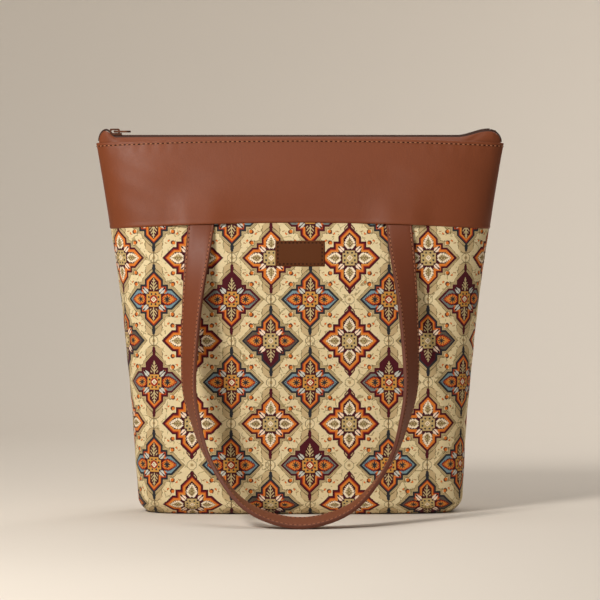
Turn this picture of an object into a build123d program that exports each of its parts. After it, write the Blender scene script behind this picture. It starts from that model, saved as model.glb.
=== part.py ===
"""Tote bag with a fabric body, a leather yoke, a top zip and two long straps.

Millimetres, +Z up, front of the bag at -Y, base on Z = 0.
"""

import math
import os

from build123d import *

os.makedirs("parts", exist_ok=True)

# Body, outer sizes
top_width = 407.0
base_width = 320.0
base_depth = 100.0
rim_depth = 32.0
rim_height = 372.5
rim_droop = 5.0
seam_height = 289.0
seam_droop = 7.0
base_round = 14.0

# Walls and clearances
fabric_wall = 1.8
yoke_proud = 0.8
lining_wall = 0.8
lining_drop = 8.0
fit_gap = 0.3
overrun = 12.0

# How the body flares, bulges and turns from a box into a flat mouth
flare_share = 0.45
bulge_power = 3.0
base_square_power = 4.0
rim_square_power = 9.0
base_corner_power = 3.5
rim_corner_power = 1.5
round_height_shares = (0.0, 0.12, 0.42, 1.0)
body_height_shares = (0.15, 0.32, 0.49, 0.65, 0.79, 0.91, 1.0)
outline_turn_shares = (0.0, 0.12, 0.25, 0.38, 0.5, 0.62, 0.75, 0.86, 0.945, 1.0)

# Label patch
label_width = 49.5
label_height = 25.8
label_middle_height = 258.2
label_thickness = 1.2
label_round = 1.5

# Zip: toothed rows, tapes and facings
zip_rise = 2.2
zip_end = 200.0
zip_end_drop = 2.0
hump_rise = 6.5
hump_peak_share = 0.74
right_hump_run = 44.0
left_hump_run = 8.0
tooth_pitch = 2.7
tooth_length = 1.15
tooth_height = 2.6
tooth_reach = 1.35
spine_inner = 1.6
spine_outer = 2.6
spine_height = 1.4
row_end = 192.0
tape_flat = 5.0
tape_outer = 6.8
tape_drop = 2.2
tape_step = 0.6
tape_thickness = 0.7
tape_lean_deg = 37.0
tape_overlap = 3.0
tape_end = 195.0
facing_thickness = 1.2
facing_end = 197.0
stop_length = 3.0
stop_height = 2.4
level_shares = (0.0, 0.02, 0.06, 0.14, 0.3, 0.6)

# Slider and pull
slider_place = -185.0
slider_length = 14.0
slider_width = 8.8
slider_nose_width = 7.4
plate_thickness = 1.5
channel_gap = 0.4
flange_width = 1.6
flange_drop = 0.9
wedge_length = 4.4
wedge_width = 2.4
wedge_inset = 0.8
bridge_length = 10.0
bridge_width = 3.0
bridge_thickness = 1.6
pull_pin_radius = 1.0
pull_length = 16.0
pull_width = 8.6
pull_thickness = 1.8
pull_arm_width = 1.8
pull_window = 7.2

# Straps
strap_width = 25.5
strap_thickness = 3.6
strap_bow = 108.0
strap_reach = 148.0
strap_floor_gap = 0.2
strap_twist_deg = 104.0

# Right half of a strap from its sewn end to the middle of the hanging loop
strap_drop_shares = (
    (0.0, 0.06, 0.16, 0.30, 0.40, 0.49, 0.55, 0.61)
    + (0.67, 0.73, 0.785, 0.84, 0.895, 0.945, 0.985, 1.0)
)
strap_bow_shares = (
    (0.905, 0.922, 0.951, 0.982, 0.995, 1.0, 0.996, 0.972)
    + (0.93, 0.882, 0.82, 0.733, 0.618, 0.475, 0.25, 0.0)
)
strap_lean_shares = (
    (0.0, 0.035, 0.10, 0.205, 0.29, 0.375, 0.435, 0.5)
    + (0.57, 0.645, 0.715, 0.79, 0.86, 0.93, 0.98, 1.0)
)
strap_twist_shares = (
    (0.0, 0.10, 0.26, 0.43, 0.49, 0.55, 0.585, 0.63)
    + (0.69, 0.74, 0.79, 0.84, 0.89, 0.94, 0.98, 1.0)
)


def blend(start, end, share):
    return start + (end - start) * share


def half_width(height):
    share = height / rim_height
    flare = flare_share * share + (1 - flare_share) * share**2
    return blend(base_width, top_width, flare) / 2


def half_depth(height):
    share = max(height, 0) / rim_height
    return blend(base_depth, rim_depth, share**bulge_power) / 2


def outline_powers(height):
    """How square the outline is at one height, along its front and at its corners."""
    share = min(max(height, 0) / rim_height, 1)
    square = blend(base_square_power, rim_square_power, share**2)
    return square, blend(base_corner_power, rim_corner_power, share)


def depth_share(height, width_share):
    """Depth of the body at a place across its width, as a share of the depth in the middle."""
    square, corner = outline_powers(height)
    return max(1 - width_share**square, 0) ** (1 / corner)


def half_section(height, inset, offset, back):
    """Front half of the body's outline at one height, closed by straight lines at y = back."""
    wide = half_width(height) + offset - inset
    deep = half_depth(height) + offset - inset
    square, corner = outline_powers(height)
    turns = [math.pi / 2 * share for share in outline_turn_shares[:-1]]
    right = [(wide * math.cos(t) ** (2 / square), -deep * math.sin(t) ** (2 / corner)) for t in turns]
    left = [(-x, y) for x, y in reversed(right)]
    curve = Spline(*right, (0, -deep), *left)
    if back > 0:
        rest = Polyline((-wide, 0), (-wide, back), (wide, back), (wide, 0))
    else:
        rest = Line((-wide, 0), (wide, 0))
    return Pos(0, 0, height) * make_face([*curve.edges(), *rest.edges()])


def half_body(offset, back=0.0):
    """Solid front half of the body, grown by offset all round."""
    bottom = -offset
    turn = base_round + offset
    sections = []
    for share in round_height_shares:
        inset = turn - math.sqrt(turn**2 - (turn * (1 - share)) ** 2)
        sections.append(half_section(bottom + turn * share, inset, offset, back))
    for share in body_height_shares:
        sections.append(half_section(rim_height * share, 0, offset, back))
    sections.append(half_section(rim_height + overrun, 0, offset, back))
    return loft(sections)


def arch_height(middle, droop, x):
    return middle - droop * (2 * x / top_width) ** 2


def below(middle, droop):
    """Everything under a shallow arch that runs across the bag."""
    side = top_width / 2
    low = -base_round - overrun
    high = middle - droop
    far = side + overrun
    curve = ThreePointArc((-side, high), (0, middle), (side, high))
    frame = Polyline((side, high), (far, high), (far, low), (-far, low), (-far, high), (-side, high))
    area = make_face([*curve.edges(), *frame.edges()])
    return extrude(Plane.XZ * area, amount=top_width, both=True)


def make_fabric_panel():
    outside = half_body(0.0) & below(seam_height - fit_gap, seam_droop)
    return outside - half_body(-fabric_wall, overrun)


def make_yoke():
    outside = half_body(yoke_proud) & below(rim_height, rim_droop)
    return outside - below(seam_height, seam_droop) - half_body(-fabric_wall, overrun)


def make_lining():
    skin = -fabric_wall - fit_gap
    outside = half_body(skin) & below(rim_height - lining_drop, rim_droop)
    return outside - half_body(skin - lining_wall, overrun)


def make_label():
    outline = Pos(0, label_middle_height) * RectangleRounded(label_width, label_height, label_round)
    block = extrude(Plane.XZ * outline, amount=base_depth)
    return (half_body(fit_gap + label_thickness) & block) - half_body(fit_gap, overrun)


zip_height = rim_height + zip_rise


def zip_line(x):
    """Height of the zip: level, with a hump where the facings are pinched at each end."""
    run = right_hump_run if x > 0 else left_hump_run
    share = (abs(x) - (zip_end - run)) / run
    if share <= 0:
        return zip_height
    if share <= hump_peak_share:
        return zip_height + hump_rise * (1 - math.cos(math.pi * share / hump_peak_share)) / 2
    fall = min((share - hump_peak_share) / (1 - hump_peak_share), 1)
    return zip_height + hump_rise - (hump_rise + zip_end_drop) * fall**2


def zip_stations(end):
    """Places along the zip, close together over the humps."""
    left = zip_end - left_hump_run
    right = zip_end - right_hump_run
    places = [blend(-end, -left, i / 4) for i in range(4)]
    places += [blend(-left, right, share) for share in level_shares]
    return places + [blend(right, end, i / 8) for i in range(9)]


def mouth_half_gap(x):
    """Clear half width of the mouth between the two yokes."""
    wide = half_width(rim_height) - fabric_wall
    share = min(abs(x) / wide, 1)
    return (rim_depth / 2 - fabric_wall) * depth_share(rim_height, share) - fit_gap


def zip_slope(x):
    """Where a facing starts on its tape, the way it slopes down to the rim, and how far."""
    lift = facing_thickness + fit_gap
    room = mouth_half_gap(x) - lift
    start = Vector(0, -min(tape_outer, room), zip_line(x) + tape_thickness / 2 - tape_drop)
    end = Vector(0, -room, arch_height(rim_height, rim_droop, x) - lift)
    way = end - start
    return start, way.normalized(), way.length


def facing_section(x):
    start, way, length = zip_slope(x)
    out = Vector(0, way.Z, -way.Y)
    low = start + out * fit_gap
    high = low + out * facing_thickness
    corners = [low, low + way * length, high + way * length, high]
    return Pos(x, 0, 0) * make_face(Polyline(*corners, close=True))


def tape_section(x):
    """Tape that lies flat beside the teeth, then steps down and runs on under the facing."""
    start, way, length = zip_slope(x)
    top = zip_line(x) + tape_thickness / 2
    inner = Vector(0, -spine_outer - fit_gap, top)
    flat = max(min(tape_flat, -start.Y - tape_step), spine_outer + fit_gap + tape_thickness)
    step = Vector(0, -flat, top)
    lean = math.radians(tape_lean_deg)
    under = Vector(0, math.sin(lean), -math.cos(lean)) * tape_thickness
    end = start + way * tape_overlap
    down = Vector(0, 0, tape_thickness)
    corners = [inner, step, start, end, end + under, start + under, step + under, inner - down]
    return Pos(x, 0, 0) * make_face(Polyline(*corners, close=True))


def make_facing():
    return loft([facing_section(x) for x in zip_stations(facing_end)], ruled=True)


def make_tape():
    return loft([tape_section(x) for x in zip_stations(tape_end)], ruled=True)


def row_start():
    return slider_place - slider_length / 2 + wedge_inset + wedge_length + fit_gap


def make_teeth(phase_share):
    """One toothed row: a spine along the tape's edge and teeth that reach past the middle."""
    start = row_start()
    end = row_end
    stations = [start] + [x for x in zip_stations(end) if x > start]
    top = [(x, zip_line(x) + spine_height / 2) for x in stations]
    bottom = [(x, zip_line(x) - spine_height / 2) for x in reversed(stations)]
    edge = Polyline(*top, *bottom, close=True)
    band = Pos(0, -spine_inner, 0) * extrude(Plane.XZ * make_face(edge), amount=spine_outer - spine_inner)
    count = int((end - start - tooth_pitch) / tooth_pitch)
    teeth = []
    for i in range(count):
        x = start + tooth_pitch * (i + phase_share)
        rise = zip_line(x + tooth_length) - zip_line(x - tooth_length)
        tilt = math.degrees(math.atan2(rise, 2 * tooth_length))
        tooth = Box(tooth_length, tooth_reach + spine_outer, tooth_height)
        place = Pos(x, (tooth_reach - spine_outer) / 2, zip_line(x)) * Rot(0, -tilt, 0)
        teeth.append(place * tooth)
    return band.fuse(*teeth)


def make_stops():
    """A stop on the end of each tape beside the slider, and one across both rows at the far end."""
    width = spine_outer - spine_inner
    near_x = slider_place - (slider_length + stop_length) / 2 - fit_gap
    near = Box(stop_length, width, stop_height)
    pair = [Pos(near_x, side * (spine_inner + width / 2), zip_line(near_x)) * near for side in (-1, 1)]
    far_x = row_end + fit_gap + stop_length / 2
    far = Pos(far_x, 0, zip_line(far_x)) * Box(stop_length, 2 * spine_outer, stop_height)
    return Compound(children=[*pair, far])


channel_half = tooth_height / 2 + channel_gap
plate_top = channel_half + plate_thickness
pin_height = plate_top + pull_pin_radius + channel_gap
bridge_inner = pin_height + pull_pin_radius + channel_gap
bridge_top = bridge_inner + bridge_thickness


def plate_outline():
    """Slider plate seen from above: wide at the wedge end, narrower at the other."""
    half = slider_length / 2
    wide = slider_width / 2
    nose = slider_nose_width / 2
    points = [(-half, -wide), (0, -wide), (half, -nose), (half, nose), (0, wide), (-half, wide)]
    return make_face(Polyline(*points, close=True))


def make_slider():
    outline = plate_outline()
    plate = extrude(outline, amount=plate_thickness)
    plate = fillet(plate.edges().filter_by(Axis.Z), plate_thickness / 2)
    upper = Pos(0, 0, channel_half) * plate
    lower = Pos(0, 0, -channel_half - plate_thickness) * plate
    flange = extrude(outline - offset(outline, -flange_width), amount=flange_drop)
    gate = Box(2 * slider_length, 2 * (spine_outer + channel_gap), slider_width)
    flange -= gate
    upper += Pos(0, 0, channel_half - flange_drop) * flange
    lower += Pos(0, 0, -channel_half) * flange
    half = wedge_length / 2
    side = wedge_width / 2
    diamond = make_face(Polyline((-half, 0), (0, -side), (half, 0), (0, side), close=True))
    wedge_x = wedge_inset + half - slider_length / 2
    wedge = Pos(wedge_x, 0, -channel_half) * extrude(diamond, amount=2 * channel_half)
    body = upper + lower + wedge + make_bridge()
    return Pos(slider_place, 0, zip_height) * body


def make_bridge():
    """Arch over the top plate that the pull's pin sits under."""
    outer = Pos(0, plate_top / 2 + bridge_top / 2) * Rectangle(bridge_length, bridge_top - plate_top)
    outer = fillet(outer.vertices().group_by(Axis.Y)[-1], bridge_thickness)
    inside = bridge_length - 2 * bridge_thickness
    inner = Pos(0, plate_top / 2 + bridge_inner / 2) * Rectangle(inside, bridge_inner - plate_top)
    inner = fillet(inner.vertices().group_by(Axis.Y)[-1], pull_pin_radius)
    return extrude(Plane.XZ * (outer - inner), amount=bridge_width / 2, both=True)


def make_pull():
    """Tab with a window that goes round the bridge, on a pin under it."""
    arm_half = bridge_width / 2 + fit_gap + pull_arm_width
    tip_half = pull_width / 2
    tip_x = pull_length - tip_half
    neck = Polyline((0, -arm_half), (pull_window, -arm_half), (tip_x, -tip_half))
    tip = ThreePointArc((tip_x, -tip_half), (pull_length, 0), (tip_x, tip_half))
    rest = Polyline((tip_x, tip_half), (pull_window, arm_half), (0, arm_half), (0, -arm_half))
    outline = make_face([*neck.edges(), *tip.edges(), *rest.edges()])
    window = Pos(pull_window / 2, 0) * Rectangle(pull_window, bridge_width + 2 * fit_gap)
    tab = extrude(outline - window, amount=pull_thickness / 2, both=True)
    pin = Rot(90, 0, 0) * Cylinder(pull_pin_radius, 2 * arm_half)
    return Pos(slider_place, 0, zip_height + pin_height) * (tab + pin)


strap_hinge_depth = half_depth(seam_height) + yoke_proud + fit_gap + strap_thickness / 2


def strap_route():
    """Places, tangents and twists down the right half of a strap."""
    hinge = arch_height(seam_height, seam_droop, strap_bow) - fit_gap
    sag = math.radians(strap_twist_deg - 90)
    low = (strap_width * math.sin(sag) + strap_thickness * math.cos(sag)) / 2 + strap_floor_gap
    rows = zip(strap_bow_shares, strap_lean_shares, strap_drop_shares)
    places = [
        Vector(strap_bow * bow, -strap_hinge_depth - strap_reach * lean, blend(hinge, low, drop))
        for bow, lean, drop in rows
    ]
    ways = [places[1] - places[0]]
    ways += [places[i + 1] - places[i - 1] for i in range(1, len(places) - 1)]
    ways[0] = Vector(0, ways[0].Y, ways[0].Z)
    ways.append(Vector(-1, 0, 0))
    twists = [math.radians(strap_twist_deg) * share for share in strap_twist_shares]
    return places, [way.normalized() for way in ways], twists


def strap_section(place, way, across):
    frame = Plane(origin=place, x_dir=across, z_dir=way)
    return frame * Rectangle(strap_width, strap_thickness)


def make_strap():
    """Flat strap that hangs from the seam and turns on edge towards its lowest point."""
    front = Vector(0, -1, 0)
    right = []
    left = []
    for place, way, twist in zip(*strap_route()):
        ahead = (front - way * front.dot(way)).normalized()
        outward = ahead.cross(way)
        across = outward * math.cos(twist) - ahead * math.sin(twist)
        right.append(strap_section(place, way, across))
        place = Vector(-place.X, place.Y, place.Z)
        way = Vector(way.X, -way.Y, -way.Z)
        across = Vector(-across.X, across.Y, across.Z)
        left.append(strap_section(place, way, across))
    return loft(right + left[-2::-1])


def to_back(shape):
    return mirror(shape, about=Plane.XZ)


parts = {}
for name, maker in (
    ("panel", make_fabric_panel),
    ("yoke", make_yoke),
    ("lining", make_lining),
    ("zip_facing", make_facing),
    ("zip_tape", make_tape),
    ("strap", make_strap),
):
    parts["front_" + name] = maker()
    parts["back_" + name] = to_back(parts["front_" + name])
parts["front_zip_teeth"] = make_teeth(0.5)
parts["back_zip_teeth"] = to_back(make_teeth(1.0))
parts["zip_end_stops"] = make_stops()
parts["zip_slider"] = make_slider()
parts["zip_pull"] = make_pull()
parts["label_patch"] = make_label()

for name, shape in parts.items():
    export_step(shape, f"parts/{name}.step")
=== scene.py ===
"""Dressed scene of a zip-top tote bag, in metres, with the front at -Y."""

import math

import bpy
import numpy as np
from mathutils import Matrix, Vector


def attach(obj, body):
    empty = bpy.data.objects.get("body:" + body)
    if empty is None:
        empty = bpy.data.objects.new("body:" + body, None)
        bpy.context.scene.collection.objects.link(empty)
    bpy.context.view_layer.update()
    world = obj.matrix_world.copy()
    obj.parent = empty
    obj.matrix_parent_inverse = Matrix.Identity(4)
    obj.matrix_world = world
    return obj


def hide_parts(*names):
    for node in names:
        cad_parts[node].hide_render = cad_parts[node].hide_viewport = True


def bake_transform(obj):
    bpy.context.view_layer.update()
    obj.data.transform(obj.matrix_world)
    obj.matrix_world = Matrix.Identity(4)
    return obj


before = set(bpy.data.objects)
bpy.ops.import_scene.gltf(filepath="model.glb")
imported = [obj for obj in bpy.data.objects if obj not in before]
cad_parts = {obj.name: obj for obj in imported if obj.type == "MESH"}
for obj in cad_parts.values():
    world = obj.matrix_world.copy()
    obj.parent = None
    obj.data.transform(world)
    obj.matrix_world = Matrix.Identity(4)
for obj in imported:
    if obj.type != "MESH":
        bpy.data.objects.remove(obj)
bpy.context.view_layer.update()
MM = 0.001
TAU = 6.283
DIAGONAL = 0.7071
BEHIND = np.array([-1, -1, 1])

# Body sizes in millimetres, as in the CAD model
TOP_W, BASE_W, BASE_D, RIM_D = 407.0, 320.0, 100.0, 32.0
RIM_Z, RIM_DROOP, SEAM_Z, SEAM_DROOP, ROUND = 372.5, 5.0, 289.0, 7.0, 14.0
ZIP_Z, ZIP_RISE = 374.7, 6.5
HINGE_Y, HINGE_Z = 37.02, 286.73
STRAP_X, STRAP_W, STRAP_T = 97.7, 25.5, 3.6
STRAP_BOW, STRAP_REACH = 108.0, 148.0
STRAP_TWIST, STRAP_SAG = math.radians(104), math.radians(14)
LABEL_W, LABEL_H, LABEL_Z = 49.5, 25.8, 258.2

# Print: pitch of the lattice, where it starts on the cloth, threads to a millimetre and their bump
LATTICE_U, LATTICE_V = 77.7, 81.8
START_U, START_V = 28.7, -172.0
THREADS, WEAVE = 2.0, 7.5

# Stitches: pitch, length of a thread, length of a dark bar that paints the shade in a needle hole, and
# thickness
RIM_PITCH, RIM_THREAD, RIM_HOLE_SHADE, RIM_THICK = 4.75, 2.9, 2.8, 0.9
STRAP_PITCH, STRAP_THREAD, STRAP_HOLE_SHADE, STRAP_THICK = 4.4, 3.0, 1.3, 0.8
LABEL_PITCH, LABEL_THREAD, LABEL_THICK = 3.8, 2.5, 0.95

# Steps of the meshes
PANEL_COLS, YOKE_COLS, STRAP_ROWS = 181, 201, 360


def mix(a, b, t):
    return a + (b - a) * t


def smooth(lo, hi, x):
    t = np.clip((x - lo) / (hi - lo), 0, 1)
    return t * t * (3 - 2 * t)


def bell(x, mid, wide):
    return np.exp(-(((x - mid) / wide) ** 2))


# Shape of the soft body


def half_width(z):
    s = z / RIM_Z
    return mix(BASE_W, TOP_W, 0.45 * s + 0.55 * s * s) / 2


def half_depth(z):
    s = np.maximum(z, 0) / RIM_Z
    return mix(BASE_D, RIM_D, s**3) / 2


def outline(z, turn, offset):
    """Front half of the outline at height z; turn runs from 0 at the right side to pi at the left."""
    s = np.clip(z / RIM_Z, 0, 1)
    square = mix(4.0, 9.0, s * s)
    corner = mix(3.5, 1.5, s)
    below = ROUND - np.clip(z, 0, ROUND)
    inset = np.where(z < ROUND, ROUND - np.sqrt(np.maximum(ROUND**2 - below**2, 0)), 0)
    c, n = np.cos(turn), np.sin(turn)
    x = (half_width(z) + offset - inset) * np.sign(c) * np.abs(c) ** (2 / square)
    y = -(half_depth(z) + offset - inset) * np.abs(n) ** (2 / corner)
    return x, y


def arch(mid, droop, x):
    return mid - droop * (2 * x / TOP_W) ** 2


def turns(count):
    """Even-looking steps round the outline, closer together at the corners."""
    t = np.linspace(0, 1, count)
    return math.pi * (t - 0.06 * np.sin(4 * math.pi * t) / (2 * math.pi))


def waves(x, z, seed):
    """Soft, slow unevenness of cloth, in millimetres."""
    r = np.random.default_rng(seed)
    total = 0
    for size, high in ((150, 0.9), (90, 0.6), (48, 0.3)):
        a, b, p = r.uniform(-1, 1), r.uniform(-1, 1), r.uniform(0, 6.28)
        q = r.uniform(0, 6.28)
        slant = np.sin(TAU * (x * mix(0.5, 1, abs(a)) / size + z * b / size) + p)
        total = total + high * slant * np.sin(TAU * z / (size * 1.7) + q)
    return total


def make_mesh(name, verts, faces, body, material, prints=None):
    """Smooth mesh from millimetres; prints are the cloth's own millimetres for the print."""
    me = bpy.data.meshes.new(name)
    me.from_pydata((np.asarray(verts) * MM).tolist(), [], faces)
    me.polygons.foreach_set("use_smooth", [True] * len(me.polygons))
    if prints is not None:
        made = me.attributes.new("print_mm", "FLOAT_VECTOR", "POINT")
        made.data.foreach_set("vector", np.asarray(prints, np.float32).ravel())
    me.materials.append(material)
    me.update()
    ob = bpy.data.objects.new(name, me)
    bpy.context.scene.collection.objects.link(ob)
    if body:
        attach(ob, body)
    return ob


def grid_faces(rows, cols, wrap=False, flip=False, base=0):
    """Four-sided faces between the points of a grid."""
    faces = []
    for r in range(rows - 1):
        for c in range(cols if wrap else cols - 1):
            d = (c + 1) % cols
            near, far = base + r * cols, base + (r + 1) * cols
            quad = (near + c, near + d, far + d, far + c)
            faces.append(quad[::-1] if flip else quad)
    return faces


# Materials


class Graph:
    """Small helper that writes sums as shader nodes."""

    def __init__(self, name):
        self.mat = bpy.data.materials.new(name)
        self.mat.use_nodes = True
        self.tree = self.mat.node_tree
        self.tree.nodes.clear()
        self.out = self.node("ShaderNodeOutputMaterial")
        self.bsdf = self.node("ShaderNodeBsdfPrincipled")
        self.link(self.bsdf.outputs[0], self.out.inputs[0])

    def node(self, kind, **sets):
        n = self.tree.nodes.new(kind)
        for k, v in sets.items():
            setattr(n, k, v)
        return n

    def link(self, a, b):
        self.tree.links.new(a, b)

    def put(self, socket, value):
        if isinstance(value, Num):
            value = value.s
        if isinstance(value, bpy.types.NodeSocket):
            self.link(value, socket)
        else:
            socket.default_value = value

    def set(self, name, value):
        """Gives one socket of the surface a value or a link."""
        self.put(self.bsdf.inputs[name], value)

    def math(self, op, *args):
        n = self.node("ShaderNodeMath", operation=op)
        for s, a in zip(n.inputs, args):
            self.put(s, a)
        return Num(self, n.outputs[0])

    def colour(self, fac, a, b):
        """a where fac is 0, b where it is 1."""
        n = self.node("ShaderNodeMix", data_type="RGBA")
        self.put(n.inputs[0], fac)
        for s, v in ((n.inputs[6], a), (n.inputs[7], b)):
            self.put(s, v if isinstance(v, bpy.types.NodeSocket) else (*v, 1.0))
        return n.outputs[2]

    def noise(self, vector, scale, detail=2.0, rough=0.5):
        n = self.node("ShaderNodeTexNoise")
        self.link(vector, n.inputs["Vector"])
        n.inputs["Scale"].default_value = scale
        n.inputs["Detail"].default_value = detail
        n.inputs["Roughness"].default_value = rough
        return Num(self, n.outputs["Fac"])

    def cells(self, vector, scale, feature="F1", randomness=1.0):
        n = self.node("ShaderNodeTexVoronoi", feature=feature)
        self.link(vector, n.inputs["Vector"])
        n.inputs["Scale"].default_value = scale
        n.inputs["Randomness"].default_value = randomness
        return Num(self, n.outputs["Distance"])

    def bump(self, height, strength, distance):
        n = self.node("ShaderNodeBump")
        n.inputs["Strength"].default_value = strength
        n.inputs["Distance"].default_value = distance
        self.put(n.inputs["Height"], height)
        return n.outputs[0]

    def times(self, colour, shade):
        """A colour made lighter or darker by a number."""
        n = self.node("ShaderNodeMix", data_type="RGBA", blend_type="MULTIPLY")
        n.inputs[0].default_value = 1.0
        self.link(colour, n.inputs[6])
        grey = self.node("ShaderNodeCombineColor")
        for s in grey.inputs[:3]:
            self.put(s, shade)
        self.link(grey.outputs[0], n.inputs[7])
        return n.outputs[2]

    def pair(self, x, y):
        n = self.node("ShaderNodeCombineXYZ")
        self.put(n.inputs[0], x)
        self.put(n.inputs[1], y)
        return n.outputs[0]

    def place(self):
        return self.node("ShaderNodeTexCoord").outputs["Object"]


class Num:
    """A number in a shader graph."""

    def __init__(self, g, s):
        self.g, self.s = g, s

    def __add__(self, o):
        return self.g.math("ADD", self, o)

    __radd__ = __add__

    def __sub__(self, o):
        return self.g.math("SUBTRACT", self, o)

    def __rsub__(self, o):
        return self.g.math("SUBTRACT", o, self)

    def __mul__(self, o):
        return self.g.math("MULTIPLY", self, o)

    __rmul__ = __mul__

    def __truediv__(self, o):
        return self.g.math("DIVIDE", self, o)

    def __abs__(self):
        return self.g.math("ABSOLUTE", self)

    def lt(self, o):
        return self.g.math("LESS_THAN", self, o)

    def gt(self, o):
        return self.g.math("GREATER_THAN", self, o)

    def mn(self, o):
        return self.g.math("MINIMUM", self, o)

    def mx(self, o):
        return self.g.math("MAXIMUM", self, o)

    def sq(self):
        return self.g.math("MULTIPLY", self, self)

    def root(self):
        return self.g.math("SQRT", self)

    def sin(self):
        return self.g.math("SINE", self)

    def floor(self):
        return self.g.math("FLOOR", self)

    def pick(self, a, b):
        """a where this is 1, b where it is 0."""
        return self * (a - b) + b


def srgb(r, g, b):
    """Linear colour from the usual 0 to 255."""
    return tuple(((c / 255 + 0.055) / 1.055) ** 2.4 if c > 10 else c / 255 / 12.92 for c in (r, g, b))


def shades(tone, low, high):
    """A darker and a lighter version of a colour."""
    return tuple(c * low for c in tone), tuple(min(c * high, 1) for c in tone)


# Colours of the print
GROUND = srgb(233, 216, 174)
GROUND_WARM = srgb(229, 206, 156)
SPECK = srgb(168, 146, 100)
LINK_LINE, LINK_DOT = srgb(134, 112, 78), srgb(176, 150, 104)
BUD, BUD_EDGE, TWIG = srgb(190, 112, 58), srgb(92, 44, 30), srgb(172, 118, 70)
SHELL_EDGE, SHELL_LINE = srgb(128, 110, 70), srgb(160, 142, 96)
STEM = srgb(112, 92, 62)
TAUPE, STONE = srgb(96, 84, 70), srgb(118, 124, 118)
DEEP, LEAF_EDGE, MIDDLE_EDGE = srgb(54, 14, 24), srgb(48, 18, 24), srgb(70, 26, 26)
STRAW, SPRIG, HEART = srgb(196, 176, 128), srgb(198, 178, 130), srgb(112, 74, 44)
LEAF_WARM, LEAF_COOL = srgb(250, 222, 196), srgb(206, 204, 192)
MIDDLE_PALE, MIDDLE_WARM = srgb(196, 168, 112), srgb(208, 150, 70)
DIAMOND = srgb(150, 124, 76)
KHAKI = srgb(201, 175, 130)
ORANGE = srgb(220, 118, 42)
AMBER = srgb(216, 142, 62)
RED = srgb(158, 48, 26)
MAROON = srgb(78, 18, 28)
CHARCOAL = srgb(44, 44, 48)
BLUE = srgb(120, 148, 156)
CREAM = srgb(248, 230, 200)
OLIVE = srgb(140, 120, 72)

# Medallions: half width and point of the upright lobes, then of the sideways ones
ROSE_SHAPE = (11.4, 32.3, 10.7, 30.4)
PLAIN_SHAPE = (9.6, 28.8, 10.4, 29.0)


def fabric_material():
    """Cream cloth with a half-drop lattice of pointed medallions, drawn by sums on the cloth."""
    g = Graph("fabric")
    at = g.node("ShaderNodeAttribute", attribute_name="print_mm").outputs["Vector"]
    xyz = g.node("ShaderNodeSeparateXYZ")
    g.link(at, xyz.inputs[0])
    raw_u, raw_v = Num(g, xyz.outputs[0]), Num(g, xyz.outputs[1])
    # Threads step the drawing a little, as a woven motif does
    u = ((raw_u * THREADS).floor() + 0.5) * (1 / THREADS)
    v = ((raw_v * THREADS).floor() + 0.5) * (1 / THREADS)
    pu, pv = LATTICE_U, LATTICE_V
    au, av = u * (1 / pu), v * (1 / pv)
    iu, iv = (au + 0.5).floor(), (av + 0.5).floor()
    ju, jv = au.floor(), av.floor()
    ax, ay = (au - iu) * pu, (av - iv) * pv
    bx, by = (au - ju - 0.5) * pu, (av - jv - 0.5) * pv
    first = (abs(ax) * (2 / pu) + abs(ay) * (2 / pv)).lt(1.0)
    sx, sy = first.pick(ax, bx), first.pick(ay, by)
    odd_col = g.math("FLOORED_MODULO", iu, 2.0).gt(0.5)
    odd_row = g.math("FLOORED_MODULO", iv, 2.0).gt(0.5)
    third = g.math("FLOORED_MODULO", ju + jv * 2.0, 3.0)
    look = {
        "rose": first * odd_col,
        "dusk": first * (1.0 - odd_col) * (1.0 - odd_row),
        "amber": first * (1.0 - odd_col) * odd_row,
        "blue": (1.0 - first) * third.lt(1.5),
        "wine": (1.0 - first) * third.gt(1.5),
    }
    x, y = abs(sx), abs(sy)
    colour = ground_colour(g, u, v, x, y)
    colour = medallion(g, colour, x, y, sy, look)
    colour = lobe_motifs(g, colour, x, y, look)
    colour = middle_motif(g, colour, x, y, look)
    # Woven slubs and a slight fading between the threads
    fine = g.noise(at, 1.3, 2.0)
    slub = g.noise(at, 0.12, 3.0)
    shade = fine * 0.26 + slub * 0.16 + 0.74
    g.set("Base Color", g.times(colour, shade))
    g.set("Roughness", 0.85)
    g.set("Sheen Weight", 0.05)
    g.set("Specular IOR Level", 0.2)
    warp = ((raw_u * WEAVE).sin() * (raw_v * WEAVE).sin()) * 0.5 + fine
    g.set("Normal", g.bump(warp, 0.3, 0.0003))
    return g.mat


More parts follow.
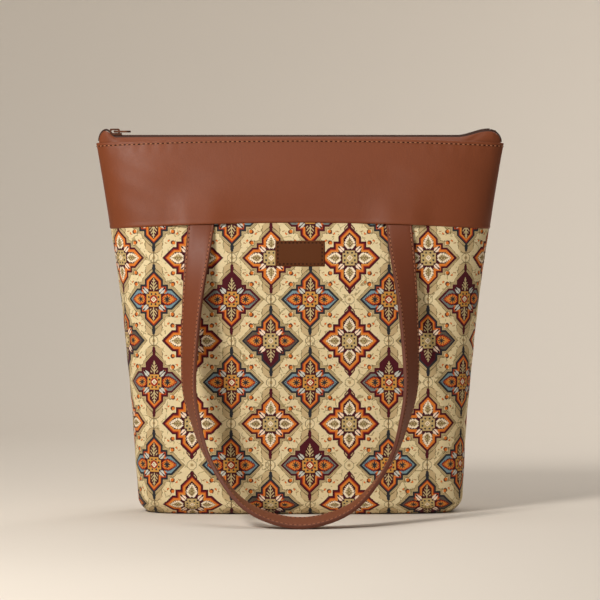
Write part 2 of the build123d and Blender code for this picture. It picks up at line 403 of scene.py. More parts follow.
def ground_colour(g, u, v, x, y):
    """Cream ground with faint broken vine lines, twigs and small buds between the medallions."""
    place = g.pair(u, v)
    tint = g.noise(place, 0.06, 2.0)
    colour = g.colour(tint, GROUND, GROUND_WARM)
    line = g.cells(place, 0.085, "DISTANCE_TO_EDGE", 0.9).lt(0.026)
    gate = g.noise(place, 0.2, 1.0).gt(0.5)
    colour = g.colour(line * gate * 0.7, colour, OLIVE)
    speck = g.noise(place, 0.45, 1.0).gt(0.70)
    colour = g.colour(speck * 0.5, colour, SPECK)
    # Thin eight-sided links where four cells meet
    link, link_line, link_dot = 4.4, 0.35, 1.5
    for dx, dy in ((LATTICE_U / 2 - x, y), (x, LATTICE_V / 2 - y)):
        ring = dx.mx(dy).mx((dx + dy) * DIAGONAL)
        colour = g.colour(abs(ring - link).lt(link_line) * 0.8, colour, LINK_LINE)
        colour = g.colour(ring.lt(link_dot), colour, LINK_DOT)
    berries = ((19.6, 15.2, 2.2), (15.6, 24.4, 1.5))
    for px, py, r in berries:
        d = ((x - px).sq() + (y - py).sq()).root()
        colour = g.colour(d.lt(r), colour, BUD_EDGE)
        d = ((x - px + r * 0.3).sq() + (y - py + r * 0.25).sq()).root()
        colour = g.colour(d.lt(r * 0.72), colour, ORANGE)
    twig_x, twig_y, twig_mid, twig_reach, twig_line = 12.0, 26.2, 15.5, 4.6, 0.45
    twig = abs((y - twig_y) - (x - twig_x) * 0.3).lt(twig_line) * abs(x - twig_mid).lt(twig_reach)
    colour = g.colour(twig, colour, TWIG)
    bud_x, bud_y, bud_size = 22.6, 24.0, 1.5
    bud = abs(x - bud_x) + abs(y - bud_y) * 0.7
    return g.colour(bud.lt(bud_size), colour, BUD)


def outline_shape(x, y, wide, apex, side_wide, side_tip):
    """Distance-like measure of a medallion: pointed lobes up and sideways on a stepped middle."""
    up = (x - wide).mx((x + y - apex) * DIAGONAL)
    side = (y - side_wide).mx((x + y - side_tip) * DIAGONAL)
    step_x, step_y = 4.9, 5.0
    step = (x - (wide + step_x)).mx(y - (wide + step_y))
    return up.mn(side).mn(step)


def medallion(g, colour, x, y, sy, look):
    """Khaki shells, outline and bands of one medallion."""
    big = outline_shape(x, y, *ROSE_SHAPE)
    small = outline_shape(x, y, *PLAIN_SHAPE)
    rose = look["rose"]
    f = rose.pick(big, small)
    # Shells above and below, with a dark finial
    shell_wide, shell_mid, shell_round, shell_foot = 8.0, 26.0, 9.2, 20.0
    scallop = (x * 1.15 + y * 0.75).sin() * 0.35
    bumps = abs((g.math("ARCTAN2", y - 25.0, x) * 6.0).sin()) * -0.9
    shell = (x - shell_wide).mx(((x * 0.8).sq() + (y - shell_mid).sq()).root() - shell_round) + bumps
    shell = shell.mx(shell_foot - y)
    plain = 1.0 - rose
    colour = g.colour(plain * shell.lt(0.5), colour, SHELL_EDGE)
    colour = g.colour(plain * shell.lt(-0.2), colour, KHAKI)
    halo_edge, halo_fill, halo_line = 2.5, 1.8, 0.9
    colour = g.colour(plain * f.lt(halo_edge + scallop), colour, SHELL_EDGE)
    colour = g.colour(plain * f.lt(halo_fill + scallop), colour, KHAKI)
    colour = g.colour(plain * abs(f - halo_line).lt(0.3), colour, SHELL_LINE)
    tip_wide, tip_slant, tip_top, tip_foot = 5.4, 5.2, 29.4, 26.0
    tip = (x - tip_wide).mx((x + (y - tip_top) * 0.8) - tip_slant).mx(tip_foot - y)
    colour = g.colour(rose * tip.lt(0.0), colour, MAROON)
    colour = g.colour(rose * (tip + 1.3).lt(0.0) * x.gt(1.9), colour, KHAKI)
    stem_line, stem_foot = 0.45, 27.0
    colour = g.colour(plain * x.lt(stem_line) * y.gt(stem_foot), colour, STEM)
    finial_wide, finial_mid, finial_top, finial_foot = 1.9, 30.6, 34.8, 26.0
    finial = (x - (finial_wide - abs(y - finial_mid) * 0.18)).lt(0.0)
    finial = plain * finial * y.lt(finial_top) * y.gt(finial_foot)
    edge = g.colour(look["blue"].mx(look["dusk"]), MAROON, CHARCOAL)
    colour = g.colour(finial, colour, edge)
    colour = g.colour(f.lt(0.0), colour, edge)
    # Bands inside the outline
    red_from, orange_from, amber_from = -2.0, -2.8, -4.0
    sideways = (x - y).gt(5.6)
    upper = sy.gt(0.0)
    band = g.colour(f.lt(orange_from), RED, ORANGE)
    band = g.colour(look["amber"], band, ORANGE)
    band = g.colour(f.lt(amber_from), band, AMBER)
    band = g.colour(look["wine"] * upper * (1.0 - sideways), band, MAROON)
    band = g.colour(look["dusk"] * (1.0 - upper) * (1.0 - sideways), band, MAROON)
    band = g.colour(look["blue"] * sideways, band, BLUE)
    band = g.colour(look["dusk"] * sideways, band, TAUPE)
    band = g.colour(look["wine"] * sideways, band, STONE)
    colour = g.colour(f.lt(red_from), colour, band)
    inner = rose.pick(-5.1, -4.6)
    inside = g.colour(g.noise(g.pair(x, y), 0.9, 0.0).gt(0.6), MAROON, DEEP)
    return g.colour((f - inner).lt(0.0), colour, inside)


def petal(x, y, mid, narrow, back, ahead):
    """Teardrop that points away from the middle, with a toothed edge; 1 on its edge."""
    out = y - mid
    reach = out.gt(0.0).pick(out * (1 / ahead), out * (-1 / back))
    over = x * narrow
    rounded = (over.sq() + reach.sq()).root()
    pointed = over * 0.82 + reach
    drop = out.gt(0.0).pick(rounded * 0.45 + pointed * 0.55, rounded)
    return drop + ((x * 2.6 - y * 2.1).sin()) * 0.11


def lobe_motifs(g, colour, x, y, look):
    """Cream flowers, khaki sprigs or orange flowers in the four lobes."""
    cream = look["rose"].mx(look["amber"])
    narrow = look["rose"].pick(0.19, 0.21)
    petal_mid, petal_back, petal_ahead, star_mid = 14.2, 5.4, 8.6, 13.8
    for along, over, plain_side in ((y, x, False), (x, y, True)):
        drop = petal(over, along, petal_mid, narrow, petal_back, petal_ahead)
        flower = g.colour(drop.lt(0.97), colour, CREAM)
        heart = ((over * 2.6).sin() * (along * 2.2 + 0.6).sin()).gt(0.1)
        flower = g.colour(drop.lt(0.62), flower, STRAW)
        flower = g.colour(drop.lt(0.62) * heart, flower, HEART)
        flower = g.colour(over.lt(0.45) * drop.lt(0.8) * along.gt(10.0), flower, OLIVE)
        if plain_side:
            leaf = g.colour(drop.lt(1.2), colour, MAROON)
            leaf = g.colour(drop.lt(1.06), leaf, RED)
            leaf = g.colour(drop.lt(0.9), leaf, ORANGE)
            leaf = g.colour(drop.lt(0.66), leaf, AMBER)
            dx, dy = abs(along - star_mid), over
            r = (dx.sq() + dy.sq()).root()
            ray = dx.mn(dy).lt(0.5).mx(abs(dx - dy).lt(0.7))
            leaf = g.colour(r.lt(1.5).mx(ray * r.lt(3.5)), leaf, CHARCOAL)
        else:
            twig = ((over - along * 0.85) * 2.0).sin().gt(0.25) * (over - (21.5 - along) * 0.5).lt(0.0)
            twig = twig * over.lt(3.9) * along.gt(9.4)
            stalk = over.lt(0.55) * along.lt(21.0) * along.gt(8.0)
            leaf = g.colour(twig.mx(stalk), colour, SPRIG)
        colour = g.colour(cream, leaf, flower)
    return colour


def middle_motif(g, colour, x, y, look):
    """Khaki middle with dark dots, a small diamond and pale leaves on the diagonals."""
    arm_tip, arm_foot, leaf_mid, rim_mid = 17.2, 8.0, 11.4, 11.3
    plus_short, plus_long = 4.9, 7.4
    dot_near, dot_far, dot_size = 2.2, 5.0, 1.0
    p, q = (x + y) * DIAGONAL, abs(x - y) * DIAGONAL
    spike, warm = look["rose"].mx(look["amber"]), look["blue"].mx(look["wine"])
    arm = (q - (arm_tip - p) * 0.28).lt(0.0) * p.gt(arm_foot) * (1.0 - spike)
    colour = g.colour(arm, colour, ORANGE)
    rim = (q - (5.2 - abs(p - rim_mid)) * 0.62).lt(0.0)
    colour = g.colour(rim, colour, LEAF_EDGE)
    leaf = (abs(q - 1.15) - (4.4 - abs(p - leaf_mid)) * 0.3).lt(0.0) * q.gt(0.3)
    pale = g.colour(warm, LEAF_WARM, LEAF_COOL)
    colour = g.colour(leaf, colour, pale)
    plus = (x - plus_short).mx(y - plus_long).mn((x - plus_long).mx(y - plus_short))
    colour = g.colour(plus.lt(0.7), colour, MIDDLE_EDGE)
    colour = g.colour(plus.lt(0.0), colour, g.colour(warm, MIDDLE_PALE, MIDDLE_WARM))
    for dx, dy in ((dot_near, dot_far), (dot_far, dot_near)):
        dot = ((x - dx).sq() + (y - dy).sq()).root().lt(dot_size)
        colour = g.colour(dot, colour, CHARCOAL)
    ring = (x.sq() + y.sq()).root()
    colour = g.colour(warm * ring.lt(4.1), colour, RED)
    diamond = x + y
    colour = g.colour(diamond.lt(3.0), colour, CREAM)
    colour = g.colour(diamond.lt(1.7), colour, DIAMOND)
    return g.colour(diamond.lt(0.8), colour, CREAM)


def leather_material(name, tone, depth=1.0, rough=0.52, gloss=0.35):
    """Grained leather: cloudy tone, fine pebbled bump."""
    g = Graph(name)
    at = g.place()
    cloud = g.noise(at, 14.0, 3.0)
    fine = g.noise(at, 900.0, 2.0)
    shade = (cloud - 0.5) * 0.35 + (fine - 0.5) * 0.25 + 0.5
    g.set("Base Color", g.colour(shade, *shades(tone, 0.72, 1.28)))
    grain = g.cells(at, 1100.0)
    crease = g.noise(at, 260.0, 3.0, 0.6)
    g.set("Normal", g.bump(grain * 0.6 + crease, 0.22 * depth, 0.0004))
    g.set("Roughness", crease * 0.16 + (rough - 0.08))
    g.set("Specular IOR Level", gloss)
    return g.mat


def thread_material(name, tone):
    """Dull sewing thread."""
    g = Graph(name)
    g.set("Base Color", g.colour(g.noise(g.place(), 1500.0, 2.0), *shades(tone, 0.75, 1.2)))
    g.set("Roughness", 0.8)
    g.set("Specular IOR Level", 0.12)
    return g.mat


def metal_material(name, tone, rough):
    """Antique metal with worn patches."""
    g = Graph(name)
    wear = g.noise(g.place(), 420.0, 3.0, 0.6)
    g.set("Base Color", g.colour(wear, *shades(tone, 0.55, 1.45)))
    g.set("Metallic", 0.85)
    g.set("Roughness", wear * 0.25 + (rough - 0.12))
    g.set("Normal", g.bump(wear, 0.15, 0.0002))
    return g.mat


def cloth_material(name, tone, pitch):
    """Plain woven cloth: crossed ribs and a little unevenness."""
    g = Graph(name)
    at = g.place()
    xyz = g.node("ShaderNodeSeparateXYZ")
    g.link(at, xyz.inputs[0])
    k = TAU / (pitch * MM)
    rib = (Num(g, xyz.outputs[0]) * k).sin() * (Num(g, xyz.outputs[2]) * k).sin()
    fleck = g.noise(at, 300.0, 2.0)
    g.set("Base Color", g.colour(fleck, *shades(tone, 0.8, 1.2)))
    g.set("Roughness", 0.9)
    g.set("Normal", g.bump(rib * 0.5 + fleck, 0.3, 0.0003))
    return g.mat


FABRIC = fabric_material()
LEATHER = leather_material("leather", srgb(121, 61, 31), gloss=0.31)
STRAP = leather_material("strap_leather", srgb(113, 57, 32), gloss=0.32)
EDGE = leather_material("strap_edge", srgb(98, 50, 31), 1.5, 0.6)
LABEL = leather_material("label_leather", srgb(90, 47, 17), 0.8, 0.6, 0.15)
THREAD = thread_material("thread", srgb(176, 118, 84))
# Dark bars between the threads are painted shade: they stand for the shadow inside the needle holes
HOLE_SHADE = thread_material("needle_hole_painted_shade", srgb(48, 22, 12))
DARK_THREAD = thread_material("dark_thread", srgb(26, 11, 5))
METAL = metal_material("antique_metal", srgb(104, 66, 48), 0.45)
TEETH = metal_material("zip_teeth", srgb(98, 70, 60), 0.42)
TAPE = cloth_material("zip_tape_cloth", srgb(62, 36, 26), 0.9)
LINING = cloth_material("lining_cloth", srgb(178, 158, 130), 0.8)


# Fabric panels


def skin_offset(x, z, seed):
    """Slow waves, tension under the yoke and dents at the low corners, in millimetres."""
    pull_z, low_z, waist_x, waist_z = 262, 20, 172, 210
    loose, tight = 0.7, -0.9
    dent = waves(x, z, seed)
    pull = -0.8 * bell(z, pull_z, 30) * np.cos(x / 26.0) * 0.6
    low = 0.9 * bell(z, low_z, 16) * np.sin(x / 17.0 + seed) * smooth(40, 140, np.abs(x))
    sides = -1.6 * bell(np.abs(x), waist_x, 12) * bell(z, waist_z, 70)
    return np.maximum(loose + dent + pull + low + sides, tight)


def fabric_panel(name, node, front, seed):
    """One printed panel: half of the base and one wall, up to under the yoke."""
    cols = PANEL_COLS
    hidden, base_run, corner_run = 5, 40.0, 8.0
    low = np.linspace(0, 1, 9) ** 1.8 * ROUND
    heights = np.concatenate([low, np.linspace(ROUND, SEAM_Z + hidden, 96)[1:]])
    turn = turns(cols)
    verts, prints = [], []
    # Underside first, from the middle seam of the base to its edge
    edge_x, edge_y = outline(np.zeros(cols), turn, 0.0)
    for share in np.linspace(0, 1, 7)[:-1]:
        verts.append(np.stack([edge_x, edge_y * share, np.zeros(cols)], 1))
        under = -(1 - share) * base_run - corner_run + 0 * edge_x
        prints.append(np.stack([edge_x, under, 0 * edge_x], 1))
    for z in heights:
        zz = np.full(cols, z)
        x, y = outline(zz, turn, 0.0)
        zz = np.minimum(zz, arch(SEAM_Z + hidden, SEAM_DROOP, x)) if z > SEAM_Z - 12 else zz
        side = np.abs(np.cos(turn))
        keep = smooth(2, 16, z) * (1 - smooth(270, 292, z)) * (1 - smooth(0.999, 1.0, side))
        off = skin_offset(x, z, seed) * keep
        x2, y2 = outline(zz, turn, off)
        verts.append(np.stack([x2, y2, zz], 1))
        step = np.hypot(np.diff(x2), np.diff(y2))
        run = np.concatenate([[0], np.cumsum(step)])
        up = zz - corner_run * (1 - smooth(0, ROUND, zz))
        prints.append(np.stack([run[-1] / 2 - run, up, 0 * zz], 1))
    verts, prints = np.array(verts), np.array(prints)
    prints[..., 0] += START_U
    prints[..., 1] += START_V
    if not front:
        verts = verts * BEHIND
    faces = grid_faces(len(verts), cols, flip=True)
    ob = make_mesh(name, verts.reshape(-1, 3), faces, "bag", FABRIC, prints.reshape(-1, 3))
    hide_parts(node)


fabric_panel("fabric_front", "front_panel", True, 3)
fabric_panel("fabric_back", "back_panel", False, 11)


# Leather yokes


def hem_lift(x, z):
    """The yoke's edge is pushed out where a strap end lies under it."""
    far, near, high, below, above = 36.0, 9.0, 4.6, 6, 48
    lift = 0
    for mid in (-STRAP_X, STRAP_X):
        lift = lift + smooth(far, near, np.abs(x - mid))
    return lift * high * (1 - smooth(SEAM_Z - below, SEAM_Z + above, z)) ** 1.5


def yoke(name, node, front, seed):
    """One leather band: rounded lower hem, puffed middle, and the rim turned in at the top."""
    cols = YOKE_COLS
    turn = turns(cols)
    # Height over the seam or the rim, and distance outwards
    low = [(0.9, -1.4), (0.1, -0.4), (-0.3, 0.35), (0.1, 0.95), (0.9, 1.25), (2.0, 1.3), (3.6, 1.05)]
    high = [(-4.6, 0.9), (-3.2, 0.75), (-2.4, 0.8), (-1.2, 1.0), (-0.3, 0.75)]
    high += [(0.1, 0.1), (-0.2, -0.55), (-1.2, -0.9), (-9.0, -1.1)]
    middle = np.linspace(0, 1, 44)[1:-1]
    rows = []
    base_x, _ = outline(np.full(cols, 330.0), turn, 0.0)
    seam = arch(SEAM_Z, SEAM_DROOP, base_x)
    rim = arch(RIM_Z, RIM_DROOP, base_x)
    for up, out in low:
        rows.append((seam + up, out, 0.0))
    for s in middle:
        z = mix(seam + low[-1][0], rim + high[0][0], s)
        rows.append((z, mix(1.0, 0.85, s), math.sin(math.pi * s)))
    for up, out in high:
        rows.append((rim + up, out, 0.0))
    verts = []
    for z, out, soft in rows:
        x, _ = outline(z, turn, 0.0)
        face = smooth(0.0, 0.35, np.sin(turn))
        puff = (0.9 * waves(x, z * 1.2, seed) + 1.0) * soft * face
        pucker = 0.16 * np.sin(x / 2.1 + seed) * bell(z, rim - 6, 6)
        off = out + puff + pucker + hem_lift(x, z) * (out > -1.3)
        x2, y2 = outline(z, turn, off)
        verts.append(np.stack([x2, y2, z], 1))
    verts = np.array(verts)
    if not front:
        verts = verts * BEHIND
    faces = grid_faces(len(verts), cols, flip=True)
    ob = make_mesh(name, verts.reshape(-1, 3), faces, "bag", LEATHER)
    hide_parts(node)


yoke("leather_yoke_front", "front_yoke", True, 5)
yoke("leather_yoke_back", "back_yoke", False, 23)


# Stitches


def stitch_mesh(name, places, ways, outs, length, thick, body, material):
    """A row of threads: each one a short rounded bar sunk at both ends."""
    ring = 6
    bar = [(-0.5, 0.35, -0.25), (-0.3, 0.9, 0.15), (0.0, 1.0, 0.28), (0.3, 0.9, 0.15), (0.5, 0.35, -0.25)]
    verts, faces = [], []
    for p, w, o in zip(places, ways, outs):
        w = w / np.linalg.norm(w)
        o = o - w * np.dot(o, w)
        o = o / np.linalg.norm(o)
        b = np.cross(w, o)
        base = len(verts)
        for t, r, h in bar:
            for k in range(ring):
                a = 2 * math.pi * k / ring
                up, over = thick * (h + 0.5 * r * math.sin(a)), thick * 0.55 * r * math.cos(a)
                verts.append(p + w * (t * length) + o * up + b * over)
        faces += grid_faces(len(bar), ring, wrap=True, base=base)
        faces.append(tuple(base + k for k in reversed(range(ring))))
        faces.append(tuple(base + (len(bar) - 1) * ring + k for k in range(ring)))
    return make_mesh(name, verts, faces, body, material)


def along(points, pitch, shift=0.5):
    """Even steps along a line of points: places, directions and shares of the length."""
    points = np.asarray(points, float)
    run = np.concatenate([[0], np.cumsum(np.linalg.norm(np.diff(points, axis=0), axis=1))])
    count = max(int(run[-1] / pitch), 1)
    s = (np.arange(count) + shift) * run[-1] / count

    def read(t):
        return np.stack([np.interp(t, run, points[:, k]) for k in range(3)], 1)

    way = read(np.minimum(s + 0.6, run[-1])) - read(np.maximum(s - 0.6, 0))
    return read(s), way, s / run[-1]


def rim_stitches(name, sign, shift, length, material):
    """Row of threads, or of dark bars painted for the shade in the needle holes between them, along the rim
    of one yoke.
    """
    turn = turns(401)[8:-8]
    x, _ = outline(np.full(turn.shape, RIM_Z - 5.5), turn, 0.0)
    below, out = 3.0, 0.82
    z = arch(RIM_Z - below, RIM_DROOP, x)
    x, y = outline(z, turn, out)
    place, way, _ = along(np.stack([x * sign, y * sign, z], 1), RIM_PITCH, shift)
    level = np.ones(len(place))
    out = np.stack([place[:, 0] * 0.02, -sign * level, 0.25 * level], 1)
    stitch_mesh(name, place, way, out, length, RIM_THICK, "bag", material)


# Threads, then dark bars of painted shade where the needle holes are
for side, sign in (("front", 1), ("back", -1)):
    rim_stitches("rim_stitching_" + side, sign, 0.5, RIM_THREAD, THREAD)
    rim_stitches("rim_painted_hole_shade_" + side, sign, 0.0, RIM_HOLE_SHADE, HOLE_SHADE)


# Zip: facings and tape ends

# Ends of the zip: where the line turns down, how wide and how high the turn is
TURNS = {1: (188.6, 12.3, 13.0), -1: (193.6, 7.3, 12.0)}


def zip_line(x):
    """Height of the zip: level, lifted near both ends and rounded down to the rim there."""
    right_from, right_run, left_from = 156.0, 32.56, -183.0
    right = ZIP_RISE * (1 - np.cos(np.pi * np.clip((x - right_from) / right_run, 0, 1))) / 2
    left = ZIP_RISE * smooth(left_from, -TURNS[-1][0], x)
    z = ZIP_Z + np.where(x > 0, right, left)
    for side, (start, wide, high) in TURNS.items():
        z = z - high * (1 - np.sqrt(1 - np.clip((x * side - start) / wide, 0, 1) ** 2))
    return z


def facing(name, node, sign):
    """Soft leather strip from under the zip down to the inside of the rim, closed up at the ends."""
    left, right = TURNS[-1][0], TURNS[1][0]
    turn = np.sin(np.linspace(0, math.pi / 2, 26))
    runs = [-left - 7.0 * turn[:0:-1], np.linspace(-left, -181, 24)[:-1], np.linspace(-181, 150, 120)[:-1]]
    xs = np.concatenate([*runs, np.linspace(150, right, 50)[:-1], right + 12.0 * turn])
    wall, half_gap, clear, tape_half, tip, under, tuck = 1.8, 14.2, 0.3, 6.8, 200.6, 1.85, 1.5
    wide = half_width(RIM_Z) - wall
    gap = half_gap * np.maximum(1 - np.minimum(np.abs(xs) / wide, 1) ** 9, 0) ** (1 / 1.5) - clear
    room = np.maximum(gap, clear)
    closing = 0.25 + 1.9 * np.maximum(tip - np.abs(xs), 0) ** 0.75
    y0 = np.minimum(np.minimum(tape_half, room), closing)
    z0 = zip_line(xs) - under + 0.7 * smooth(190, 196, np.abs(xs))
    z1 = arch(RIM_Z, RIM_DROOP, xs) - tuck
    length = np.hypot(room - y0, z1 - z0)
    out_y, out_z = (z0 - z1) / length, (room - y0) / length
    profile = [(0.06, 0.1), (0.0, 0.35), (0.0, 0.9), (0.03, 1.3), (0.1, 1.5), (0.25, 1.62), (0.42, 1.66)]
    profile += [(0.6, 1.6), (0.78, 1.48), (0.92, 1.3), (1.0, 1.1)]
    verts = []
    for t, h in profile:
        soft = math.sin(math.pi * t)
        fold = bell(xs, mix(184.0, 163.0, t), 3.4) * smooth(160, 170, xs)
        high = h + soft * (0.16 * np.sin(xs / 6.1 + 2 * sign) - 1.1 * fold)
        y, z = mix(y0, room, t) + high * out_y, mix(z0, z1, t) + high * out_z
        verts.append(np.stack([xs, -sign * y, z], 1))
    verts = np.array(verts)
    faces = grid_faces(len(verts), len(xs), flip=sign < 0)
    ob = make_mesh(name, verts.reshape(-1, 3), faces, "bag", LEATHER)
    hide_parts(node)


def tape_end(name, side, lead):
    """End of the zip tape, turned down over an end of the facings; lead is where it starts."""
    start, wide, _ = TURNS[side]
    x = start + wide * np.sin(np.linspace(0.2, 1.5, 40))
    x = np.concatenate([np.linspace(lead, x[0], 16)[:-1], x])
    z = zip_line(x * side)
    out = np.gradient(np.stack([-z, x], 1), axis=0)
    out /= np.linalg.norm(out, axis=1)[:, None]
    ring = [(-1.3, -1.0), (-1.45, 0.0), (-1.0, 0.65), (0.0, 0.85), (1.0, 0.65), (1.45, 0.0), (1.3, -1.0)]
    lines = [np.stack([x + out[:, 0] * h, np.full(len(x), y), z + out[:, 1] * h], 1) for y, h in ring]
    verts = np.stack(lines, 1).reshape(-1, 3) * np.array([side, side, 1])
    n = len(ring)
    faces = grid_faces(len(x), n, wrap=True, flip=True)
    faces += [tuple(range(n)), tuple((len(x) - 1) * n + k for k in reversed(range(n)))]
    make_mesh(name, verts, faces, "bag", TAPE)


tape_end("zip_tape_end_right", 1, 190.6)
tape_end("zip_tape_end_left", -1, 188.0)
facing("zip_facing_leather_front", "front_zip_facing", 1)
facing("zip_facing_leather_back", "back_zip_facing", -1)


# Straps

# Half of a strap from its sewn end to the lowest point, as shares of its drop, bow, reach and twist
DROP_SHARES = np.array([
    0.0, 0.06, 0.16, 0.30, 0.40, 0.49, 0.55, 0.61, 0.67, 0.73, 0.785, 0.84, 0.895, 0.945, 0.985, 1.0,
])
BOW_SHARES = np.array([
    0.905, 0.922, 0.951, 0.982, 0.995, 1.0, 0.996, 0.972, 0.93, 0.882, 0.82, 0.733, 0.618, 0.475, 0.25, 0.0,
])
LEAN_SHARES = np.array([
    0.0, 0.035, 0.10, 0.205, 0.29, 0.375, 0.435, 0.5, 0.57, 0.645, 0.715, 0.79, 0.86, 0.93, 0.98, 1.0,
])
TWIST_SHARES = np.array([
    0.0, 0.10, 0.26, 0.43, 0.49, 0.55, 0.585, 0.63, 0.69, 0.74, 0.79, 0.84, 0.89, 0.94, 0.98, 1.0,
])


def natural(t, y, s):
    """Natural cubic spline through (t, y), read at s."""
    n = len(t)
    h = np.diff(t)
    a = np.eye(n)
    b = np.zeros(n)
    for i in range(1, n - 1):
        a[i, i - 1 : i + 2] = h[i - 1], 2 * (h[i - 1] + h[i]), h[i]
        b[i] = 6 * ((y[i + 1] - y[i]) / h[i] - (y[i] - y[i - 1]) / h[i - 1])
    m = np.linalg.solve(a, b)
    k = np.clip(np.searchsorted(t, s) - 1, 0, n - 2)
    d0, d1 = s - t[k], t[k + 1] - s
    bend = (m[k] * d1**3 + m[k + 1] * d0**3) / (6 * h[k])
    before = (y[k] / h[k] - m[k] * h[k] / 6) * d1
    after = (y[k + 1] / h[k] - m[k + 1] * h[k] / 6) * d0
    return bend + before + after


def strap_geometry(count):
    """Places, widthways and face directions along the whole strap, left end to right end."""
    low = (STRAP_W * math.sin(STRAP_SAG) + STRAP_T * math.cos(STRAP_SAG)) / 2 + 0.2
    px, py, pz = -STRAP_BOW * BOW_SHARES, -HINGE_Y - STRAP_REACH * LEAN_SHARES, mix(HINGE_Z, low, DROP_SHARES)
    x = np.concatenate([px, -px[-2::-1]])
    y, z, twist = (np.concatenate([q, q[-2::-1]]) for q in (py, pz, STRAP_TWIST * TWIST_SHARES))
    steps = np.sqrt(np.diff(x) ** 2 + np.diff(y) ** 2 + np.diff(z) ** 2)
    knots = np.concatenate([[0], np.cumsum(steps)])
    s = np.linspace(0, knots[-1], count)
    place = np.stack([natural(knots, q, s) for q in (x, y, z)], 1)
    way = np.gradient(place, axis=0)
    way /= np.linalg.norm(way, axis=1)[:, None]
    turn = natural(knots, twist, s)[:, None]
    front = np.array([0, -1.0, 0])
    ahead = front - way * (way @ front)[:, None]
    ahead /= np.linalg.norm(ahead, axis=1)[:, None]
    outside = np.cross(way, ahead)
    if outside[0, 0] > 0:
        outside = -outside
    normal = np.sin(turn) * outside + np.cos(turn) * ahead
    across = np.cos(turn) * outside - np.sin(turn) * ahead
    # The sewn ends press in a little towards the cloth
    place[:, 1] += 1.0 * smooth(272, 285, place[:, 2])
    return place, across, normal


def strap(name, node, sign):
    """One strap: two layers pressed together, with a groove for the stitches near both edges."""
    place, across, normal = strap_geometry(STRAP_ROWS)
    # The ends go on for a little under the yoke's edge
    tuck = np.array([0, 0.5, 4.5])
    place = np.vstack([place[:1] + tuck, place, place[-1:] + tuck])
    across, normal = (np.vstack([q[:1], q, q[-1:]]) for q in (across, normal))
    w, t = STRAP_W / 2, STRAP_T / 2
    half = [(-w + 0.25, 0.0), (-w, 0.45), (-w + 0.05, 1.1), (-w + 0.5, t), (-w + 1.2, t + 0.16)]
    half += [(-w + 1.7, t), (-w + 2.1, t - 0.22), (-w + 2.6, t), (-w + 3.6, t + 0.18)]
    half += [(-w * 0.5, t + 0.26), (0, t + 0.28)]
    top = half + [(-a, b) for a, b in half[-2::-1]]
    ring = top + [(a, -b) for a, b in top[-2:0:-1]]
    rows, n = len(place), len(ring)
    flat = np.stack([place + across * a + normal * b for a, b in ring], 1).reshape(-1, 3)
    if sign < 0:
        flat = flat * BEHIND
    faces = grid_faces(rows, n, wrap=True)
    faces.append(tuple(range(n))[::-1])
    faces.append(tuple((rows - 1) * n + k for k in range(n)))
    ob = make_mesh(name, flat, faces, None, STRAP)
    ob.data.materials.append(EDGE)
    # The faces round both thin edges have the edge's own leather
    turn = len(top) - 1
    thin = {0, 1, 2, n - 3, n - 2, n - 1, *range(turn - 3, turn + 3)}
    marks = [1 if (i % n) in thin and i < (rows - 1) * n else 0 for i in range(len(ob.data.polygons))]
    ob.data.polygons.foreach_set("material_index", marks)
    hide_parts(node)
    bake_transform(ob)


def strap_stitches(name, sign, shift, length, material):
    """Rows of threads, or of dark bars painted for the shade in the needle holes, along both edges of a
    strap, on both faces.
    """
    place, across, normal = strap_geometry(2 * STRAP_ROWS)
    inset, sunk = 2.1, 0.18
    places, ways, outs = [], [], []
    for side in (-1, 1):
        for face in (-1, 1):
            over, up = side * (STRAP_W / 2 - inset), face * (STRAP_T / 2 - sunk)
            line = (place + across * over + normal * up)[6:-6]
            p, w, share = along(line, STRAP_PITCH, shift)
            spot = np.linspace(0, 1, len(line))
            places.append(p)
            ways.append(w)
            outs.append(np.stack([np.interp(share, spot, normal[6:-6, k] * face) for k in range(3)], 1))
    p, w, o = (np.concatenate(q) * np.array([sign, sign, 1]) for q in (places, ways, outs))
    ob = stitch_mesh(name, p, w, o, length, STRAP_THICK, None, material)
    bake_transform(ob)


strap("leather_strap_front", "front_strap", 1)
strap("leather_strap_back", "back_strap", -1)
# Threads, then dark bars of painted shade where the needle holes are
for side, sign in (("front", 1), ("back", -1)):
    strap_stitches("strap_stitching_" + side, sign, 0.5, STRAP_THREAD, THREAD)
    strap_stitches("strap_painted_hole_shade_" + side, sign, 0.0, STRAP_HOLE_SHADE, HOLE_SHADE)


# Label patch


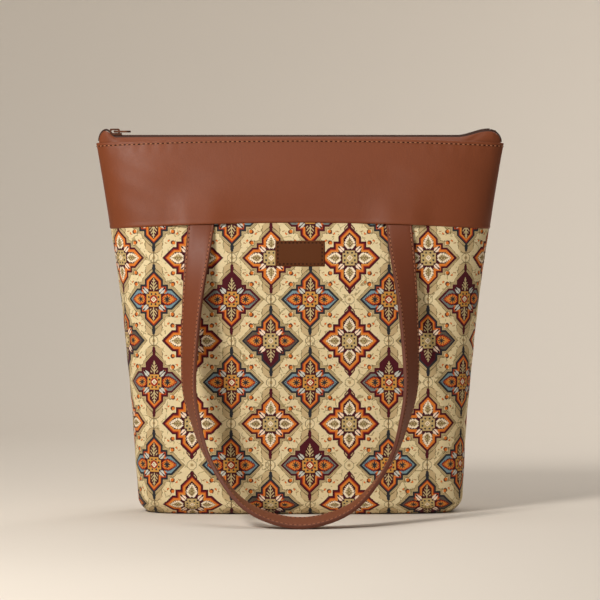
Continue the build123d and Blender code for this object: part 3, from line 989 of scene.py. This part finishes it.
def label():
    """Plain leather patch that follows the cloth, with a sewn border."""
    w, h, mid = LABEL_W, LABEL_H, LABEL_Z
    nx, nz = 61, 33
    verts = []
    for b in np.linspace(-1, 1, nz):
        for a in np.linspace(-1, 1, nx):
            x, z = a * w / 2, mid + b * h / 2
            edge = min((1 - abs(a)) * w / 2, (1 - abs(b)) * h / 2)
            groove = 0.28 * math.exp(-(((edge - 2.7) / 0.6) ** 2))
            lift = 1.25 * float(smooth(-0.2, 0.9, np.array(edge))) - groove + 0.12 * math.sin(x / 9.0)
            verts.append((x, -(half_depth(z) + 0.25 + lift), z))
    faces = grid_faces(nz, nx)
    # Thin sides, from the edge of the patch down into the cloth
    ring = [*range(nx), *(r * nx + nx - 1 for r in range(1, nz))]
    ring += [(nz - 1) * nx + c for c in range(nx - 2, -1, -1)] + [r * nx for r in range(nz - 2, 0, -1)]
    base = len(verts)
    for i in ring:
        x, y, z = verts[i]
        verts.append((x, -(half_depth(z) - 1.2), z))
    n = len(ring)
    for k in range(n):
        m = (k + 1) % n
        faces.append((ring[m], ring[k], base + k, base + m))
    ob = make_mesh("label_leather_patch", verts, faces, "bag", LABEL)
    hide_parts("label_patch")
    inset_x, inset_z, out = 2.9, 2.5, 1.2
    a, b = w / 2 - inset_x, h / 2 - inset_z
    path = [(-a, -b), (a, -b), (a, b), (-a, b), (-a, -b)]
    pts = np.array([(x, 0.0, mid + z) for x, z in path])
    fine = np.concatenate([np.linspace(pts[i], pts[i + 1], 20) for i in range(4)])
    fine[:, 1] = -(half_depth(fine[:, 2]) + out)
    place, way, _ = along(fine, LABEL_PITCH)
    facing_out = np.tile(np.array([0, -1.0, 0.2]), (len(place), 1))
    stitch_mesh("label_stitching", place, way, facing_out, LABEL_THREAD, LABEL_THICK, "bag", DARK_THREAD)


label()


# CAD nodes that stay

for node, material in (
    ("front_zip_tape", TAPE),
    ("back_zip_tape", TAPE),
    ("front_zip_teeth", TEETH),
    ("back_zip_teeth", TEETH),
    ("zip_end_stops", METAL),
    ("zip_slider", METAL),
    ("zip_pull", METAL),
    ("front_lining", LINING),
    ("back_lining", LINING),
):
    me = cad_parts[node].data
    me.materials.clear()
    me.materials.append(material)


# Stage, light and camera


def stage_material(name, tone):
    """Pale paper that shows from the object's side only, so that the bag can be seen from behind."""
    g = Graph(name)
    clear = g.node("ShaderNodeBsdfTransparent")
    both = g.node("ShaderNodeMixShader")
    g.link(g.node("ShaderNodeNewGeometry").outputs["Backfacing"], both.inputs[0])
    g.link(g.bsdf.outputs[0], both.inputs[1])
    g.link(clear.outputs[0], both.inputs[2])
    g.link(both.outputs[0], g.out.inputs[0])
    g.set("Base Color", g.colour(g.noise(g.place(), 3.0, 2.0), *shades(tone, 0.985, 1)))
    g.set("Roughness", 0.95)
    g.set("Specular IOR Level", 0.05)
    return g.mat


def stage():
    """Pale floor that curves up into a backdrop."""
    reach, bend, sweep, top, steps = 9.0, 1.1, 0.7, 4.0, 12
    pts = [(-reach, 0.0), (bend, 0.0)]
    for k in range(1, steps + 1):
        a = math.pi / 2 * k / steps
        pts.append((bend + sweep * math.sin(a), sweep * (1 - math.cos(a))))
    pts.append((bend + sweep, top))
    verts = [(x, y, z) for y, z in pts for x in (-reach, reach)]
    faces = [(2 * i, 2 * i + 1, 2 * i + 3, 2 * i + 2) for i in range(len(pts) - 1)]
    me = bpy.data.meshes.new("floor")
    me.from_pydata(verts, [], faces)
    me.polygons.foreach_set("use_smooth", [True] * len(me.polygons))
    me.materials.append(stage_material("floor", srgb(218, 209, 197)))
    ob = bpy.data.objects.new("floor", me)
    bpy.context.scene.collection.objects.link(ob)


def lamp(name, place, target, size, power, tone):
    """Round soft lamp that looks at a target."""
    data = bpy.data.lights.new(name, "AREA")
    data.shape = "DISK"
    data.size = size
    data.energy = power
    data.color = tone
    ob = bpy.data.objects.new(name, data)
    ob.location = place
    ob.rotation_mode = "QUATERNION"
    ob.rotation_quaternion = (Vector(target) - Vector(place)).to_track_quat("-Z", "Y")
    bpy.context.scene.collection.objects.link(ob)


WARM, MILD = (1.0, 0.97, 0.93), (1.0, 0.98, 0.96)
stage()
lamp("key", (-0.8, -1.15, 1.12), (-0.05, 0, 0.26), 0.4, 22.5, WARM)
lamp("fill", (2.0, -2.6, 1.2), (0, 0, 0.2), 1.8, 3, MILD)
lamp("back", (0.9, 1.45, 1.25), (0, 0.1, 0.2), 0.8, 11, MILD)
lamp("top", (0.0, 0.3, 2.4), (0, 0, 0.2), 1.2, 12, MILD)
world = bpy.data.worlds.new("studio")
bpy.context.scene.world = world
world.use_nodes = True
sky = world.node_tree.nodes["Background"]
sky.inputs[0].default_value = (*WARM, 1)
sky.inputs[1].default_value = 0.2

# The photograph's view: focal length, frame and height of aim in its pixels
FOCAL, FRAME, AIM = 3400, 600, 102
cam = bpy.data.cameras.new("camera")
cam.sensor_width = 36.0
cam.lens = 36.0 * FOCAL / FRAME
eye = bpy.data.objects.new("camera", cam)
eye.location = (0.0, -3.4, 0.313)
eye.rotation_euler = (math.pi / 2 - math.atan(AIM / FOCAL), 0.0, 0.0)
bpy.context.scene.collection.objects.link(eye)
scene = bpy.context.scene
scene.camera = eye
scene.view_settings.view_transform = "Standard"
